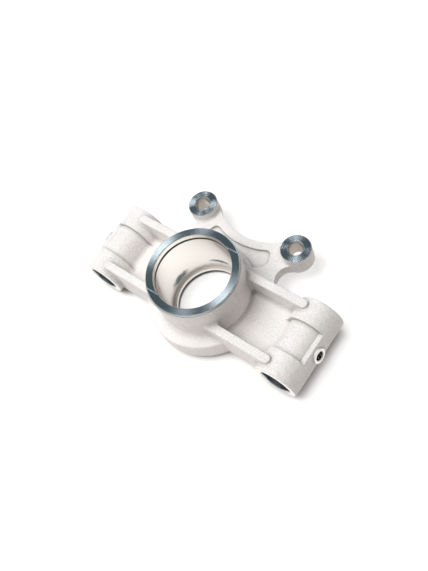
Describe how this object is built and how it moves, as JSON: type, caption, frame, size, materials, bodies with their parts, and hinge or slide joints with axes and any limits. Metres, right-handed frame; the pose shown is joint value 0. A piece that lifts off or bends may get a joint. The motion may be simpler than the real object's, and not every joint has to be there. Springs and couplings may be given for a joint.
{
  "type": "hub carrier",
  "caption": "Cast aluminium rear hub carrier: bearing barrel with round flange, ribbed arms to pivot tubes at both sides, and an eared brake caliper bracket.",
  "frame": {"origin": "on the hub axis, at the height of the two pivot axes", "axes": "+Z along the hub axis out of the machined ring face, +X from pivot tube to pivot tube, +Y along the pivot tubes towards the caliper bracket"},
  "size_m": [0.2104, 0.1204, 0.0565],
  "materials": {
    "casting": "blasted casting with turned ring and bosses"
  },
  "bodies": {
    "root": {"hub_carrier": "casting"}
  },
  "joints": []
}
